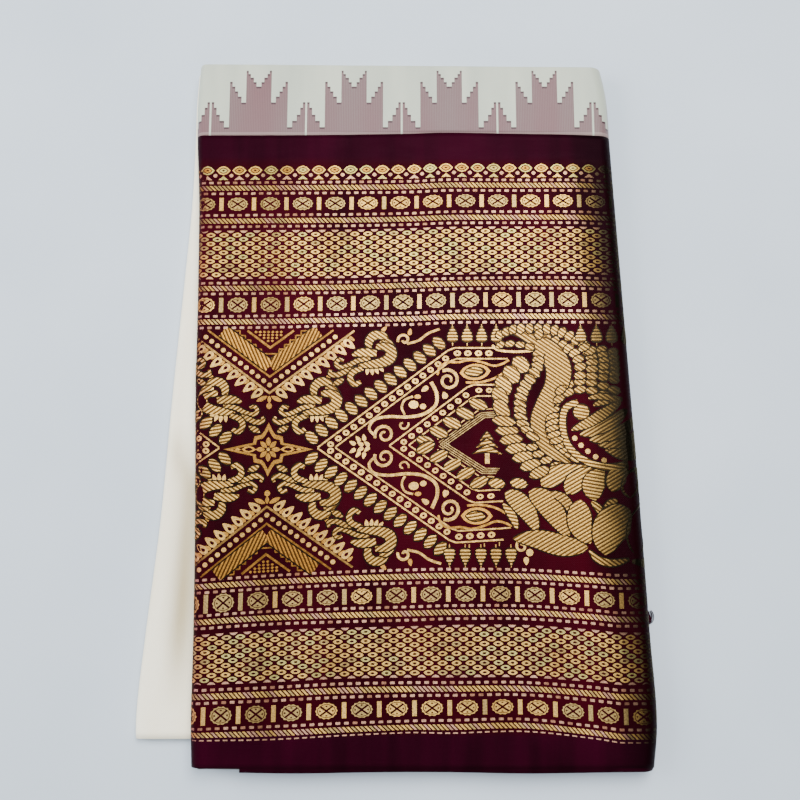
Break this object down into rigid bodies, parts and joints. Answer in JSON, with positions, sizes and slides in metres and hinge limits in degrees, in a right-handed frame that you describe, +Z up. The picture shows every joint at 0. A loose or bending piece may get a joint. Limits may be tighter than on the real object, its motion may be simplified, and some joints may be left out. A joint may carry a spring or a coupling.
{
  "type": "folded saree",
  "caption": "Ivory silk saree with a very wide maroon brocade border and stepped temple edge, folded into a flat packet.",
  "frame": {"origin": "centre of the packet's outline, at the surface that it lies on", "axes": "+Z up out of the shown face, +Y from the selvedges to the edge where the cloth is doubled across its width, +X towards the big round fold"},
  "size_m": [0.4325, 0.6086, 0.0248],
  "materials": {
    "border_brocade": "supplementary gold-coloured weft on maroon silk, metallic sheen",
    "border_silk": "plain weave silk, soft satin sheen",
    "body_silk": "plain weave silk, soft satin sheen",
    "inner_leaves": "stacked silk edges, maroon and ivory"
  },
  "bodies": {
    "root": {"border_top": "border_brocade", "border_left_fold": "border_brocade", "border_right_fold": "border_brocade", "border_under": "border_silk", "border_second_ply": "border_silk", "body_top": "body_silk", "body_left_fold": "body_silk", "body_right_fold": "body_silk", "body_under": "body_silk", "body_loose_leaf": "body_silk", "inner_layers": "inner_leaves", "inner_end_corner": "border_silk"}
  },
  "joints": []
}
